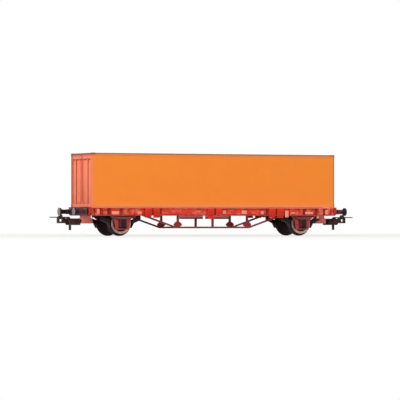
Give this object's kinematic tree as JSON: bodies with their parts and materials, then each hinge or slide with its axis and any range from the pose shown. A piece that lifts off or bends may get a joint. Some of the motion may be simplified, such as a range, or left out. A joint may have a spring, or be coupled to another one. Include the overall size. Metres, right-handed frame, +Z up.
{
  "type": "scale model two-axle container flatcar",
  "caption": "Scale model of a two-axle flatcar with truss rods, buffers and loop couplers, carrying a plain-sided container with a moulded door end.",
  "frame": {"origin": "on the surface that the wheel flanges stand on, below the middle of the wagon", "axes": "+X along the wagon away from the container's doors, +Y across it, +Z up"},
  "size_m": [0.1728, 0.028, 0.043],
  "materials": {
    "chassis_red": "satin",
    "black_plastic": "satin",
    "dark_wheel": "satin",
    "bright_steel": "brushed",
    "plain_steel": "rolled",
    "container_orange": "satin",
    "door_orange": "satin"
  },
  "bodies": {
    "wagon": {"side_sill_front": "chassis_red", "truss_rods_front": "chassis_red", "truss_posts_front": "chassis_red", "load_brackets_front": "chassis_red", "side_sill_back": "chassis_red", "truss_rods_back": "chassis_red", "truss_posts_back": "chassis_red", "load_brackets_back": "chassis_red", "headstock_left": "chassis_red", "axle_guards_left": "chassis_red", "axle_boxes_left": "black_plastic", "leaf_springs_left": "black_plastic", "brake_blocks_left": "black_plastic", "buffers_left": "black_plastic", "coupler_pocket_left": "chassis_red", "headstock_right": "chassis_red", "axle_guards_right": "chassis_red", "axle_boxes_right": "black_plastic", "leaf_springs_right": "black_plastic", "brake_blocks_right": "black_plastic", "buffers_right": "black_plastic", "coupler_pocket_right": "chassis_red", "centre_sill": "chassis_red", "cross_members": "chassis_red", "ballast_plate": "plain_steel", "load_pins": "chassis_red"},
    "left_wheelset": {"axle_left": "bright_steel", "wheel_left_front": "dark_wheel", "wheel_left_back": "dark_wheel"},
    "left_coupler": {"coupler_left": "black_plastic"},
    "left_bow": {"coupler_bow_left": "black_plastic"},
    "right_wheelset": {"axle_right": "bright_steel", "wheel_right_front": "dark_wheel", "wheel_right_back": "dark_wheel"},
    "right_coupler": {"coupler_right": "black_plastic"},
    "right_bow": {"coupler_bow_right": "black_plastic"},
    "container": {"container_floor": "container_orange", "container_roof": "container_orange", "container_end": "container_orange", "container_doors": "door_orange", "door_lock_rods": "door_orange", "container_side_front": "container_orange", "container_side_back": "container_orange"}
  },
  "joints": [
    {"name": "left_wheelset_spin", "type": "hinge", "parent": "wagon", "child": "left_wheelset", "pos_m": [-0.052, 0, 0.0066], "axis": [0, 1, 0], "continuous": true},
    {"name": "left_coupler_swing", "type": "hinge", "parent": "wagon", "child": "left_coupler", "pos_m": [-0.067, 0, 0.00785], "axis": [0, 0, 1], "range_deg": [-10, 10]},
    {"name": "left_bow_lift", "type": "hinge", "parent": "left_coupler", "child": "left_bow", "pos_m": [-0.0744, 0, 0.00785], "axis": [0, 1, 0], "range_deg": [0, 20]},
    {"name": "right_wheelset_spin", "type": "hinge", "parent": "wagon", "child": "right_wheelset", "pos_m": [0.052, 0, 0.0066], "axis": [0, 1, 0], "continuous": true},
    {"name": "right_coupler_swing", "type": "hinge", "parent": "wagon", "child": "right_coupler", "pos_m": [0.067, 0, 0.00785], "axis": [0, 0, 1], "range_deg": [-10, 10]},
    {"name": "right_bow_lift", "type": "hinge", "parent": "right_coupler", "child": "right_bow", "pos_m": [0.0744, 0, 0.00785], "axis": [0, -1, 0], "range_deg": [0, 20]},
    {"name": "container_lift", "type": "slide", "parent": "wagon", "child": "container", "axis": [0, 0, 1], "range_m": [0, 0.03]}
  ]
}
